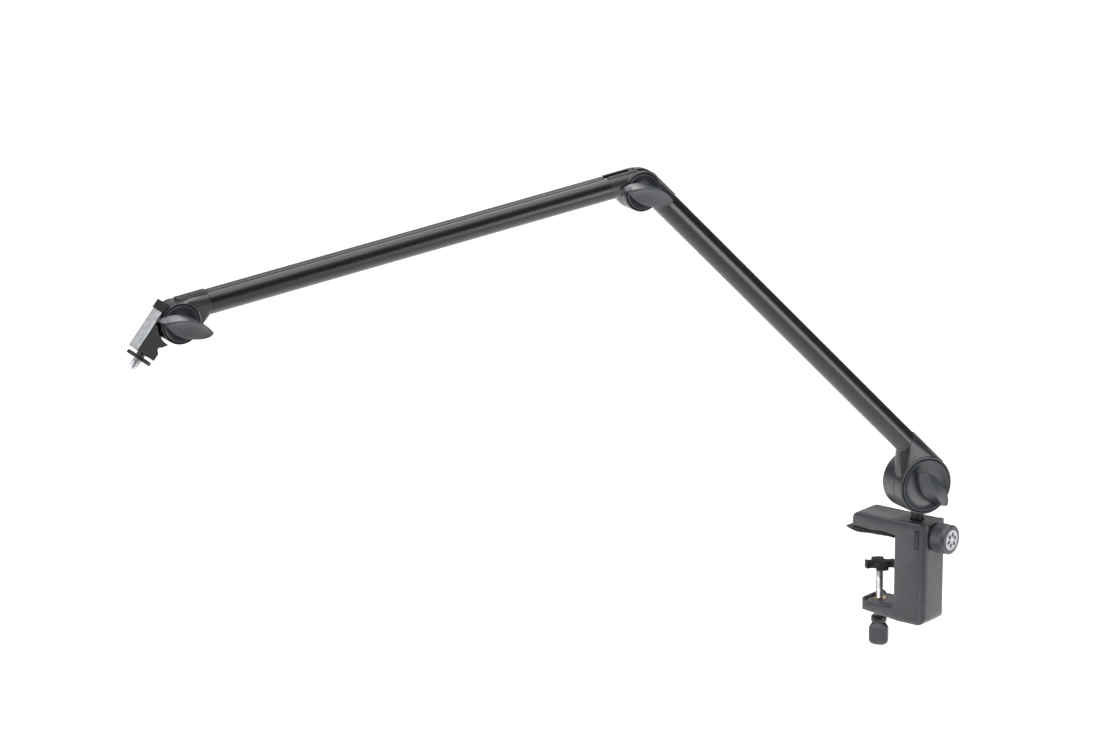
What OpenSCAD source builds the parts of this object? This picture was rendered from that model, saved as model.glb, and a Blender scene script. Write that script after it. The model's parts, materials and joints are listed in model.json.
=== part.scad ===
// Desk-clamp boom microphone stand: two tubular arms on three friction joints, a swivel stem in a
// C-clamp, and a tilting head with a threaded stud. The origin is on the underside of the upper jaw
// pad, on the clamp screw's axis. +X runs to the clamp's rear knob and +Z is up.

/* [Clamp] */
// Width of the clamp across its side covers
clamp_w = 38; // [34:1:44]
// Overall height of the clamp frame
clamp_h = 111; // [100:1:126]
// Height of the clamp's top above the desk
clamp_top = 22; // [20:1:26]
// Reach of the upper jaw in front of the screw
jaw_front = 24; // [20:1:30]
// Reach of the lower jaw in front of the screw
lower_jaw_front = 10; // [9:1:14]
// Thickness of the lower jaw
lower_jaw_t = 15.5; // [12:0.5:18]
// Distance from the screw's axis to the clamp's spine
throat = 30; // [27:1:32]
// Distance from the screw's axis to the rear face
rear_x = 70; // [66:1:74]
// Thickness of the rubber pad under the upper jaw
jaw_pad_t = 5; // [4:0.5:6]

/* [Clamp screw] */
// Nominal radius of the clamp screw
spindle_r = 4; // [4:0.5:5]
// Gap between the two clamping pads at rest
jaw_gap = 33; // [27:1:48]
// Thickness of the swivelling pressure pad
pressure_pad_t = 8; // [7:0.5:9]
// Turn of the handle's paddle about the screw at rest
paddle_turn = 20; // [0:1:180]

/* [Stem] */
// Distance from the clamp screw to the swivel stem
stem_x = 46; // [45:0.5:48]
// Radius of the swivel stem
stem_r = 6.5; // [6:0.1:7]
// Height of the base pivot above the clamp's top
pivot_rise = 40; // [40:0.5:50]
// Heading of the arm's plane about the stem at rest
arm_heading = 245.6; // [0:0.1:360]

/* [Arms] */
// Slope of the lower arm above the horizontal at rest
lower_slope = 44.8; // [30:0.1:60]
// Fall of the upper arm below the horizontal at rest
upper_drop = 8.7; // [0:0.1:20]
// Distance between the lower arm's pivots, along its tube
lower_len = 486; // [300:1:600]
// Distance between the upper arm's pivots, along its tube
upper_len = 507; // [300:1:600]
// Outer radius of both tubes
tube_r = 12.2; // [12:0.1:12.4]
// Height of the tube's axis above the base pivot
base_lift = 20.9; // [20.8:0.1:21.2]
// Height of each tube's axis above the elbow and head pivots
joint_lift = 10; // [10:0.1:10.4]

/* [Joints] */
// Radius of the base joint's ear and drum
base_r = 30.9; // [30.5:0.1:31]
// Radius of the elbow and head joints' ears and drums
joint_r = 20.4; // [20:0.1:20.5]
// Turn of the base wing knob at rest, above the horizontal
base_knob_turn = -48; // [-180:1:180]
// Turn of the elbow and head wing knobs at rest, above the horizontal
arm_knob_turn = -15; // [-180:1:180]

/* [Head] */
// Slope of the head below the horizontal at rest
head_drop = 52; // [30:1:80]
// Length of the head beyond its pivot
head_len = 44; // [42:1:48]
// Radius of the microphone stud, a 3/8 inch thread
stud_r = 4.7625; // [4.7625:0.0001:4.7625]
// Length of stud below the lock nut
stud_free = 10.5; // [8:0.5:14]

/* [Hidden] */
$fn = 96;

// Clearances
run_fit = 0.05;
joint_gap = 0.4;
far = 200;

// Clamp levels and thicknesses
clamp_bottom = clamp_top - clamp_h;
cover_t = 3;
core_w = clamp_w - 2 * cover_t;
cover_rear_x = rear_x - 6;
bush_r = 9;
bush_len = 34;
bush_top = clamp_top - 2;
stem_foot = bush_top - bush_len - 6;
spindle_bush_r = 7;
jaw_rise = 4.5;
jaw_rise_end = 36;
pad_top = -jaw_gap;
pad_tip_r = 3;
pad_tip_len = 5;
spindle_foot = clamp_bottom - 14;
collar_r = 8.5;
collar_len = 8;
handle_len = 25;

// Rear lock knob
lock_z = 6.5;
lock_screw_r = 4;
boss_r = 9;
boss_len = 1;
knob_r = 16;
knob_back_x = rear_x + boss_len + 1;
knob_ring_len = 13.5;
knob_cap_len = 4.5;
disc_r = 11;

// Tube section
tube_wall = 1.8;
channel_w = 8;
channel_d = 5.5;
channel_wall = 1.2;
cover_proud = 0.6;
cover_half_w = 5;
rail_half_w = 6.5;
rail_top = 0.2;
base_seam = 46;
joint_seam = 34;
plug_len = 26;
end_overhang = 4.6;
tongue_half_w = 3.7;
tongue_r = joint_r + 1.9;
tongue_t = 1.6;
hood_r = 33.4;

// Joint depths along the pivot axis, positive to the near side
base_ear = [2, 16];
base_drum = [-20.5, 1.6];
joint_ear = [1, 12];
joint_drum = [-12, 0.6];
base_bolt_r = 4;
joint_bolt_r = 3;
washer_t = 1;
recess_d = 4;
base_dish_r = 28;
joint_dish_r = 18.3;
wing_long = 34;
wing_short = 24;
wing_w = 20;
wing_rise = 12;

// Head
head_half_w = 10;
head_inner = 1.5;
head_outer = 24;
core_t = 1.5;
foot_half_w = 6;
web_depth = 3.4;
stud_offset = 12.2;
nut_start = head_len + 3;
nut_t = 4;
nut_r = 13;
head_arc_r = joint_r + 3.1;
stud_root_r = stud_r - 0.6;

// Where the pivots lie in the arm's plane
pivot_z = clamp_top + pivot_rise;
lower_rise = base_lift - joint_lift;
elbow_out = lower_len * cos(lower_slope) - lower_rise * sin(lower_slope);
elbow_up = lower_len * sin(lower_slope) + lower_rise * cos(lower_slope);
stud_tip = nut_start + nut_t + stud_free;

// ---- Frames: X runs along the piece, Y points to the near side, Z to its upper side ----

module arm_plane() translate([stem_x, 0, pivot_z]) rotate([0, 0, arm_heading]) children();

module at_lower() arm_plane() rotate([0, -lower_slope, 0]) children();

module at_lower_end() at_lower() translate([lower_len, 0, lower_rise]) children();

module at_upper() arm_plane() translate([elbow_out, 0, elbow_up]) rotate([0, upper_drop, 0]) children();

module at_upper_end() at_upper() translate([upper_len, 0, 0]) children();

module at_head() at_upper_end() rotate([0, head_drop - upper_drop, 0]) children();

// ---- Shared shapes ----

// Cylinder along Y between two depths
module y_disc(r, span) translate([0, span[1], 0]) rotate([90, 0, 0]) cylinder(r = r, h = span[1] - span[0]);

// Cylinder along X
module x_disc(r, x0, x1) translate([x0, 0, 0]) rotate([0, 90, 0]) cylinder(r = r, h = x1 - x0);

// Outline in the YZ plane, extruded along X
module along_x(x0, x1) translate([x0, 0, 0]) rotate([90, 0, 90]) linear_extrude(x1 - x0) children();

// Outline in the XZ plane, extruded along Y
module along_y(y0, y1) translate([0, y1, 0]) rotate([90, 0, 0]) linear_extrude(y1 - y0) children();

module channel_outline() translate([-channel_w / 2, tube_r - channel_d]) square([channel_w, far]);

module channel_box() translate([-channel_w / 2 - channel_wall, tube_r - channel_d - channel_wall])
    square([channel_w + 2 * channel_wall, far]);

module tube_outline() difference() {
    union() {
        difference() {
            circle(r = tube_r);
            circle(r = tube_r - tube_wall);
        }
        intersection() {
            circle(r = tube_r);
            channel_box();
        }
    }
    channel_outline();
}

module plug_outline() difference() {
    circle(r = tube_r - tube_wall);
    channel_box();
}

// Full tube outline with flat rails beside the channel, for the cast ends
module rail_outline() union() {
    circle(r = tube_r);
    translate([-rail_half_w, 0]) square([2 * rail_half_w, tube_r + rail_top]);
}

module cap_strip_outline() difference() {
    translate([-cover_half_w, tube_r + rail_top]) square([2 * cover_half_w, cover_proud]);
    rail_outline();
}

module clip_strip_outline() difference() {
    intersection() {
        union() {
            difference() {
                circle(r = tube_r + cover_proud);
                circle(r = tube_r);
            }
            translate([-channel_w / 2, tube_r - 3.5]) square([channel_w, far]);
        }
        circle(r = tube_r + cover_proud);
        translate([-cover_half_w, 0]) square([2 * cover_half_w, far]);
    }
    translate([-channel_w / 2 + channel_wall, 0]) square([channel_w - 2 * channel_wall, tube_r - 1.2]);
}

// Sector of a ring about the Y axis, from one slope to another
module y_arc(r_in, r_out, span, from, to) intersection() {
    difference() {
        y_disc(r_out, span);
        y_disc(r_in, [span[0] - 1, span[1] + 1]);
    }
    along_y(span[0] - 1, span[1] + 1) polygon([
        [0, 0], [far * cos(from), far * sin(from)],
        [far * cos((from + to) / 2), far * sin((from + to) / 2)], [far * cos(to), far * sin(to)]
    ]);
}

// ---- Clamp ----

// Side view of the C-frame, in X and Z
module clamp_outline(front_r = 8) {
    inner_top = clamp_bottom + lower_jaw_t;
    fillet = 8;
    difference() {
        union() {
            translate([-jaw_front + front_r, jaw_pad_t]) square([rear_x + jaw_front - front_r, clamp_top - jaw_pad_t]);
            intersection() {
                translate([-jaw_front + front_r, clamp_top - front_r]) circle(r = front_r);
                translate([-jaw_front, jaw_pad_t]) square([front_r, far]);
            }
            translate([-jaw_front, jaw_pad_t]) square([front_r, clamp_top - jaw_pad_t - front_r]);
            translate([throat, clamp_bottom]) square([rear_x - throat, clamp_h]);
            translate([-lower_jaw_front, clamp_bottom]) square([throat + lower_jaw_front, lower_jaw_t]);
            translate([-lower_jaw_front, clamp_bottom]) square([3, lower_jaw_t + 3]);
            difference() {
                translate([throat - fillet, inner_top]) square([fillet, fillet]);
                translate([throat - fillet, inner_top + fillet]) circle(r = fillet);
            }
        }
        difference() {
            translate([rear_x - 10, clamp_bottom - 1]) square([11, 11]);
            translate([rear_x - 10, clamp_bottom + 10]) circle(r = 10);
        }
        polygon([
            [-lower_jaw_front - 1, clamp_bottom - 1], [-lower_jaw_front - 1, clamp_bottom + jaw_rise],
            [jaw_rise_end, clamp_bottom], [jaw_rise_end, clamp_bottom - 1]
        ]);
    }
}

module clamp_bores() {
    translate([stem_x, 0, clamp_bottom - 1]) cylinder(r = bush_r, h = bush_top - clamp_bottom + 1);
    translate([stem_x, 0, bush_top - 1]) cylinder(r = stem_r + 0.5, h = far);
    translate([stem_x, 0, lock_z]) x_disc(lock_screw_r + run_fit, 0, far);
    translate([0, 0, clamp_bottom - 1]) cylinder(r = spindle_bush_r, h = lower_jaw_t + 1);
}

module clamp_frame() color("#3b3e42") difference() {
    union() {
        along_y(-core_w / 2, core_w / 2) clamp_outline();
        intersection() {
            along_y(-clamp_w / 2, clamp_w / 2) clamp_outline();
            translate([cover_rear_x, -far / 2, -far]) cube([far, far, 2 * far]);
        }
        translate([0, 0, lock_z]) x_disc(boss_r, rear_x - 1, rear_x + boss_len);
    }
    clamp_bores();
}

// Plate over one side of the frame: side is -1 for the near plate and 1 for the far one
module side_cover(side) {
    inner = side * core_w / 2;
    outer = side * clamp_w / 2;
    intersection() {
        along_y(min(inner, outer), max(inner, outer)) clamp_outline();
        translate([-far, -far / 2, -far]) cube([far + cover_rear_x - 0.3, far, 2 * far]);
    }
}

module inlay_block() translate([cover_rear_x - 7, -clamp_w / 2 - 0.2, -4.5]) cube([4.6, 1.2, 19]);

module near_side_cover() color("#43464a") difference() {
    side_cover(-1);
    inlay_block();
}

module far_side_cover() color("#43464a") difference() {
    side_cover(1);
    screw_places() translate([0, 0, -1]) cylinder(r = 1.5, h = 8);
    screw_places() translate([0, 0, cover_t - 1]) cylinder(r = 3, h = 4);
}

// The three countersunk screws that hold the far cover
module screw_places() for (at = [[-14, 13], [38, 13], [38, -79]])
    translate([at[0], core_w / 2, at[1]]) rotate([-90, 0, 0]) children();

module cover_screws() color("#232427") screw_places() {
    cylinder(r = 1.5, h = cover_t - 0.8);
    translate([0, 0, cover_t - 1]) cylinder(r = 2.9, h = 0.8);
}

module blank_inlay() color("#34363a") inlay_block();

module upper_jaw_pad() color("#1d1e20") difference() {
    translate([-jaw_front - 10, -clamp_w / 2 - 2, 0])
        cube([jaw_front + 10 + throat - 3, clamp_w + 4, jaw_pad_t]);
    for (side = [-1, 1]) translate([-jaw_front - 10, side * (clamp_w / 2 + 2), -1]) rotate([0, 0, 45])
        cube([8, 8, 2 * jaw_pad_t + 2], center = true);
}

module spindle_bush() color("#b08d57") translate([0, 0, clamp_bottom + jaw_rise]) difference() {
    cylinder(r = spindle_bush_r, h = lower_jaw_t - jaw_rise);
    translate([0, 0, -1]) cylinder(r = spindle_r + run_fit, h = lower_jaw_t + 2);
}

module pivot_bush() color("#b08d57") difference() {
    translate([stem_x, 0, bush_top - bush_len]) cylinder(r = bush_r, h = bush_len);
    translate([stem_x, 0, bush_top - bush_len - 1]) cylinder(r = stem_r + run_fit, h = bush_len + 2);
    translate([stem_x, 0, lock_z]) x_disc(lock_screw_r + run_fit, 0, far);
}

module bottom_plug() color("#232427")
    translate([stem_x, 0, clamp_bottom]) cylinder(r = bush_r, h = 6);

// Soft piece that the lock screw drives against the stem
module thrust_piece() color("#d8d2c0") translate([stem_x, 0, lock_z])
    x_disc(lock_screw_r, stem_r + joint_gap, bush_r - 0.2);

// ---- Clamp screw ----

module pressure_pad() color("#1d1e20") translate([0, 0, pad_top - pressure_pad_t]) difference() {
    union() {
        for (turn = [45, 135]) rotate([0, 0, turn])
            translate([-14, -5.5, 0]) cube([28, 11, pressure_pad_t]);
        cylinder(r = 9, h = pressure_pad_t);
    }
    translate([0, 0, -1]) cylinder(r = pad_tip_r + run_fit, h = pad_tip_len + 1);
}

// Threaded rod with a reduced tip that turns in the pressure pad
module clamp_spindle() color("#c9ccd0") translate([0, 0, spindle_foot]) {
    cylinder(r = spindle_r, h = pad_top - pressure_pad_t - joint_gap - spindle_foot);
    cylinder(r = pad_tip_r, h = pad_top - pressure_pad_t + pad_tip_len - joint_gap - spindle_foot);
}

module handle_collar() color("#2a2b2e") translate([0, 0, spindle_foot + 2]) difference() {
    cylinder(r = collar_r, h = collar_len);
    translate([0, 0, -1]) cylinder(r = spindle_r, h = collar_len + 2);
}

// Flat paddle with rounded lower corners and a round neck
module spindle_handle() color("#2f3134") rotate([0, 0, paddle_turn])
    translate([0, 0, spindle_foot + 2 - handle_len]) difference() {
        hull() {
            translate([-10.5, -4, 8]) cube([21, 8, handle_len - 11]);
            for (side = [-1, 1]) translate([side * 5.5, 4, 5]) rotate([90, 0, 0])
                cylinder(r = 5, h = 8, $fn = 32);
            translate([0, 0, handle_len - 5]) cylinder(r = 7, h = 5, $fn = 32);
        }
        translate([0, 0, handle_len - 2]) cylinder(r = spindle_r, h = 3);
    }

// ---- Rear lock knob ----

module lock_screw() color("#c9ccd0") translate([0, 0, lock_z])
    x_disc(lock_screw_r, stem_x + bush_r, knob_back_x + knob_ring_len);

module lock_knob_ring() color("#232427") translate([0, 0, lock_z]) difference() {
    x_disc(knob_r, knob_back_x, knob_back_x + knob_ring_len);
    x_disc(lock_screw_r, 0, knob_back_x + far);
    for (step = [0 : 10 : 350]) rotate([step, 0, 0]) translate([knob_back_x + 1.5, -0.6, knob_r - 0.8])
        cube([knob_ring_len - 3, 1.2, 2]);
}

module lock_knob_cap() color("#2a2b2e") translate([0, 0, lock_z]) difference() {
    x_disc(knob_r - 0.4, knob_back_x + knob_ring_len, knob_back_x + knob_ring_len + knob_cap_len);
    x_disc(disc_r, knob_back_x + knob_ring_len + knob_cap_len - 0.8, far);
}

module lock_knob_disc() color("#c9ccd0") translate([0, 0, lock_z])
    x_disc(disc_r, knob_back_x + knob_ring_len + knob_cap_len - 0.8, knob_back_x + knob_ring_len + knob_cap_len + 0.2);

// ---- Joints ----

// Drum with a bolt bore, a head recess on the far side and a seat for the friction washer
module drum(r, span, bolt_r) difference() {
    y_disc(r, span);
    y_disc(bolt_r, [span[0] - 1, span[1] + 1]);
    y_disc(2 * bolt_r + 0.3, [span[0] - 1, span[0] + bolt_r + 1]);
    washer_seat(r, span, bolt_r);
}

module washer_seat(r, span, bolt_r) difference() {
    y_disc(r - 4, [span[1] - washer_t, span[1] + 1]);
    y_disc(bolt_r + 4, [span[1] - washer_t - 1, span[1] + 2]);
}

module friction_washer(r, span, bolt_r) difference() {
    y_disc(r - 4.1, [span[1] - washer_t, span[1] + 0.1]);
    y_disc(bolt_r + 4.1, [span[1] - washer_t - 1, span[1] + 2]);
}

// Ear bore and the round recess that the wing knob's dish turns in
module ear_cuts(span, dish_r, bolt_r) {
    y_disc(bolt_r + run_fit, [span[0] - 1, span[1] + 1]);
    y_disc(dish_r + 0.8, [span[1] - recess_d, span[1] + 1]);
}

module joint_bolt(drum_span, ear_span, bolt_r) {
    y_disc(bolt_r, [drum_span[0] + bolt_r, ear_span[1] + 3]);
    y_disc(2 * bolt_r, [drum_span[0] + 0.6, drum_span[0] + bolt_r + 1]);
}

// Dish and two-armed wing; X runs to the wing's long tip
module wing_knob(dish_r, ear_span, bolt_r) {
    floor_y = ear_span[1] - recess_d + joint_gap;
    foot_y = ear_span[1] + 0.8;
    difference() {
        union() {
            y_disc(dish_r, [floor_y, foot_y]);
            hull() {
                translate([0, foot_y, 0]) rotate([-90, 0, 0]) scale([1, wing_w / 2 / wing_short, 1])
                    cylinder(r = wing_short, h = 4, $fn = 40);
                translate([wing_long - 5, foot_y, 0]) rotate([-90, 0, 0]) cylinder(r = 5, h = 4, $fn = 24);
                translate([-wing_short / 2, foot_y, 3]) cube([wing_short / 2 + 26, wing_rise, 3]);
            }
        }
        y_disc(bolt_r + 2, [floor_y - 1, foot_y + 3.4]);
    }
}

module knob_insert(ear_span, bolt_r) {
    floor_y = ear_span[1] - recess_d + joint_gap;
    difference() {
        y_disc(bolt_r + 2, [floor_y, ear_span[1] + 4.2]);
        y_disc(bolt_r + run_fit, [floor_y - 1, ear_span[1] + 3.4]);
    }
}

module turn_in_plane(angle) rotate([0, -angle, 0]) children();

// ---- Swivel ----

module swivel_knuckle() color("#3f4246") arm_plane() {
    drum(base_r, base_drum, base_bolt_r);
    difference() {
        translate([0, 0, stem_foot - pivot_z]) cylinder(r = stem_r, h = pivot_z - stem_foot - base_r + 3);
        y_disc(base_r + 0.5, [base_drum[1], far]);
        translate([0, 0, stem_foot - pivot_z + 2.5]) rotate_extrude()
            translate([stem_r - 1, 0]) square([2, 1.5]);
    }
}

module retaining_ring() color("#8a8d91") translate([stem_x, 0, stem_foot + 2.5]) difference() {
    cylinder(r = stem_r + 2, h = 1.5);
    translate([0, 0, -1]) cylinder(r = stem_r - 1, h = 4);
}

module base_bolt() color("#8a8d91") arm_plane()
    joint_bolt(base_drum, base_ear, base_bolt_r);

module base_friction_washer() color("#8f8467") arm_plane() friction_washer(base_r, base_drum, base_bolt_r);

// ---- Lower arm ----

// Sleeve that carries on the tube's outline from the seam to the end of the casting
module sleeve(x0, x1, lift) translate([0, 0, lift]) along_x(x0, x1) rail_outline();

module plug(x0, x1, lift) translate([0, 0, lift]) along_x(x0, x1) plug_outline();

module pin_holes(x, lift) translate([x, 0, lift]) for (side = [-1, 1])
    rotate([side * 90, 0, 0]) translate([0, 0, tube_r - tube_wall - 4]) cylinder(r = 1.5, h = 4 + tube_wall - 0.3);

module base_fitting() color("#43464a") at_lower() difference() {
    union() {
        sleeve(-end_overhang, base_seam, base_lift);
        plug(base_seam, base_seam + plug_len, base_lift);
        y_disc(base_r, base_ear);
        y_arc(base_r, hood_r, [-tube_r, base_ear[0] + 1], 7, 30);
        hull() {
            y_disc(base_r - 1, [base_ear[0], base_ear[1] - 1], $fn = 32);
            translate([base_seam - 2, 0, base_lift]) x_disc(tube_r - 0.2, 0, 1, $fn = 32);
        }
    }
    y_disc(base_r + joint_gap, [-far, base_ear[0]]);
    ear_cuts(base_ear, base_dish_r, base_bolt_r);
    pin_holes(base_seam + plug_len / 2, base_lift);
}

module lower_tube() color("#3a3c40") at_lower() difference() {
    translate([0, 0, base_lift]) along_x(base_seam, lower_len - joint_seam) tube_outline();
    pin_holes(base_seam + plug_len / 2, base_lift);
    pin_holes(lower_len - joint_seam - plug_len / 2, base_lift);
}

module lower_channel_cover() color("#161719") at_lower() translate([0, 0, base_lift]) {
    along_x(-end_overhang, base_seam) cap_strip_outline();
    along_x(base_seam, lower_len - joint_seam) clip_strip_outline();
    along_x(lower_len - joint_seam, lower_len) cap_strip_outline();
}

module lower_elbow_fitting() color("#43464a") at_lower_end() difference() {
    union() {
        sleeve(-joint_seam, 0, joint_lift);
        plug(-joint_seam - plug_len, -joint_seam, joint_lift);
        drum(joint_r, joint_drum, joint_bolt_r);
        y_arc(tongue_r - tongue_t, tongue_r, [-tongue_half_w, tongue_half_w], 32, 110);
    }
    y_disc(joint_r + joint_gap, [joint_drum[1], far]);
    y_disc(joint_bolt_r, [-far, far]);
    y_disc(2 * joint_bolt_r + 0.3, [-far, joint_drum[0] + joint_bolt_r + 1]);
    washer_seat(joint_r, joint_drum, joint_bolt_r);
    pin_holes(-joint_seam - plug_len / 2, joint_lift);
}

module fitting_pins(x, lift) translate([x, 0, lift]) for (side = [-1, 1])
    rotate([side * 90, 0, 0]) translate([0, 0, tube_r - tube_wall - 4]) cylinder(r = 1.5, h = 4 + tube_wall - 0.6);

module lower_fitting_pins() color("#8a8d91") at_lower() {
    fitting_pins(base_seam + plug_len / 2, base_lift);
    fitting_pins(lower_len - joint_seam - plug_len / 2, base_lift);
}

module elbow_bolt() color("#8a8d91") at_lower_end() joint_bolt(joint_drum, joint_ear, joint_bolt_r);

module elbow_friction_washer() color("#8f8467") at_lower_end()
    friction_washer(joint_r, joint_drum, joint_bolt_r);

// ---- Upper arm ----

module upper_elbow_fitting() color("#43464a") at_upper() difference() {
    union() {
        sleeve(0, joint_seam, joint_lift);
        plug(joint_seam, joint_seam + plug_len, joint_lift);
        y_disc(joint_r, joint_ear);
    }
    y_disc(joint_r + joint_gap, [-far, joint_ear[0]]);
    ear_cuts(joint_ear, joint_dish_r, joint_bolt_r);
    translate([0, 0, joint_lift]) along_x(-1, joint_seam) channel_outline();
    difference() {
        y_disc(tongue_r + joint_gap, [-channel_w / 2, channel_w / 2]);
        y_disc(joint_r, [-channel_w, channel_w]);
        translate([-far, -far / 2, -far]) cube([far, far, 2 * far]);
    }
    translate([-1, -tube_r - 1, joint_lift + tube_r / 2]) cube([6, tube_r + 1 - channel_w / 2, tube_r]);
    pin_holes(joint_seam + plug_len / 2, joint_lift);
}

module upper_tube() color("#3a3c40") at_upper() difference() {
    translate([0, 0, joint_lift]) along_x(joint_seam, upper_len - joint_seam) tube_outline();
    pin_holes(joint_seam + plug_len / 2, joint_lift);
    pin_holes(upper_len - joint_seam - plug_len / 2, joint_lift);
}

module upper_channel_cover() color("#161719") at_upper() translate([0, 0, joint_lift]) {
    along_x(joint_seam + 3, upper_len - joint_seam) clip_strip_outline();
    along_x(upper_len - joint_seam, upper_len - 3) cap_strip_outline();
}

module head_end_fitting() color("#43464a") at_upper_end() difference() {
    union() {
        sleeve(-joint_seam, -3, joint_lift);
        plug(-joint_seam - plug_len, -joint_seam, joint_lift);
        y_disc(joint_r, joint_ear);
        hull() {
            y_disc(joint_r - 1, [joint_ear[0], joint_ear[1] - 1], $fn = 32);
            translate([-joint_seam + 1, 0, joint_lift]) x_disc(tube_r - 0.2, 0, 1, $fn = 32);
        }
    }
    y_disc(joint_r + joint_gap, [-far, joint_ear[0]]);
    ear_cuts(joint_ear, joint_dish_r, joint_bolt_r);
    pin_holes(-joint_seam - plug_len / 2, joint_lift);
}

module upper_fitting_pins() color("#8a8d91") at_upper() {
    fitting_pins(joint_seam + plug_len / 2, joint_lift);
    fitting_pins(upper_len - joint_seam - plug_len / 2, joint_lift);
}

// ---- Head ----

module head_bolt() color("#8a8d91") at_head() joint_bolt(joint_drum, joint_ear, joint_bolt_r);

module head_friction_washer() color("#8f8467") at_head() friction_washer(joint_r, joint_drum, joint_bolt_r);

// Side view of the space between the joint and the outer strip that the dark block fills
module block_outline() polygon([
    [14, head_outer - core_t], [14, 12], [23.5, -2], [head_len - 15, head_inner + 0.5],
    [head_len - 11, head_inner + 3.5], [head_len - 8, head_inner], [head_len, head_inner],
    [head_len, head_outer - core_t]
]);

// Inner foot of the core that the stud screws into
module core_foot() along_y(-foot_half_w, foot_half_w)
    translate([head_len - 8, stud_offset - foot_half_w]) square([8, head_outer - core_t - stud_offset + foot_half_w + 0.5]);

// Outer strip with its foot, and the neck beside the joint
module head_core() color("#a9adb2") at_head() difference() {
    union() {
        along_y(-head_half_w, head_half_w) translate([1.5, head_outer - core_t]) square([head_len - 1.5, core_t]);
        core_foot();
        difference() {
            along_y(-head_half_w + 1, head_half_w - 2) translate([2.5, 15]) square([6.5, head_outer - core_t - 14.5]);
            y_disc(joint_r, [-far, joint_drum[1]]);
            y_disc(joint_r + joint_gap, [joint_drum[1] - 0.1, far]);
        }
    }
    translate([0, 0, stud_offset]) x_disc(stud_root_r, head_len - 20, head_len + 1);
}

module head_hub() color("#43464a") at_head() drum(joint_r, joint_drum, joint_bolt_r);

module head_cover() color("#3f4246") at_head() difference() {
    along_y(-head_half_w, head_half_w) block_outline();
    y_disc(head_arc_r, [-web_depth, far]);
    y_disc(joint_r, [-far, 0]);
    core_foot();
    translate([head_len - 12, 0, head_inner + 0.8]) y_disc(2.5, [-far, far]);
    translate([0, 0, stud_offset]) x_disc(stud_r, head_len - 20, head_len);
}

module head_cap() color("#232427") at_head()
    along_y(-head_half_w - 0.8, head_half_w + 0.8) translate([-8.2, joint_r + joint_gap + 0.1]) square([9.4, head_outer - joint_r - joint_gap + 0.8]);

module mic_stud() color("#c9ccd0") at_head() translate([0, 0, stud_offset]) {
    x_disc(stud_root_r, head_len - 14, stud_tip - 0.5);
    x_disc(stud_r, nut_start + nut_t, stud_tip - 1);
    x_disc(stud_r - 1, stud_tip - 1, stud_tip);
}

module stud_lock_nut() color("#1b1c1e") at_head() translate([0, 0, stud_offset]) difference() {
    x_disc(nut_r, nut_start, nut_start + nut_t - 0.3);
    x_disc(stud_root_r + run_fit, nut_start - 1, nut_start + nut_t + 1);
}

// ---- Wing knobs ----

module base_wing_knob() color("#4a4d52") arm_plane() turn_in_plane(180 - base_knob_turn)
    wing_knob(base_dish_r, base_ear, base_bolt_r);

module base_knob_insert() color("#b08d57") arm_plane() knob_insert(base_ear, base_bolt_r);

module elbow_wing_knob() color("#4a4d52") at_upper() turn_in_plane(180 - arm_knob_turn + upper_drop)
    wing_knob(joint_dish_r, joint_ear, joint_bolt_r);

module elbow_knob_insert() color("#b08d57") at_upper() knob_insert(joint_ear, joint_bolt_r);

module head_wing_knob() color("#4a4d52") at_upper_end() turn_in_plane(180 - arm_knob_turn + upper_drop)
    wing_knob(joint_dish_r, joint_ear, joint_bolt_r);

module head_knob_insert() color("#b08d57") at_upper_end() knob_insert(joint_ear, joint_bolt_r);

clamp_frame();
near_side_cover();
far_side_cover();
cover_screws();
blank_inlay();
upper_jaw_pad();
spindle_bush();
pivot_bush();
bottom_plug();
thrust_piece();
pressure_pad();
clamp_spindle();
handle_collar();
spindle_handle();
lock_screw();
lock_knob_ring();
lock_knob_cap();
lock_knob_disc();
swivel_knuckle();
retaining_ring();
base_bolt();
base_friction_washer();
base_fitting();
lower_tube();
lower_channel_cover();
lower_elbow_fitting();
lower_fitting_pins();
elbow_bolt();
elbow_friction_washer();
upper_elbow_fitting();
upper_tube();
upper_channel_cover();
head_end_fitting();
upper_fitting_pins();
head_bolt();
head_friction_washer();
head_core();
head_cover();
head_cap();
mic_stud();
stud_lock_nut();
base_wing_knob();
base_knob_insert();
elbow_wing_knob();
elbow_knob_insert();
head_wing_knob();
head_knob_insert();
head_hub();
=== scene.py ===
"""Looks for the desk-clamp boom microphone stand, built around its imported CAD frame.

Local frames follow the arms: X runs along the piece, Y points out of the joints to the near side and Z
to the piece's upper side. Shapes are drawn in millimetres there and placed in metres.
"""
import json
import math
import bmesh
import bpy
from mathutils import Matrix, Vector


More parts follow.
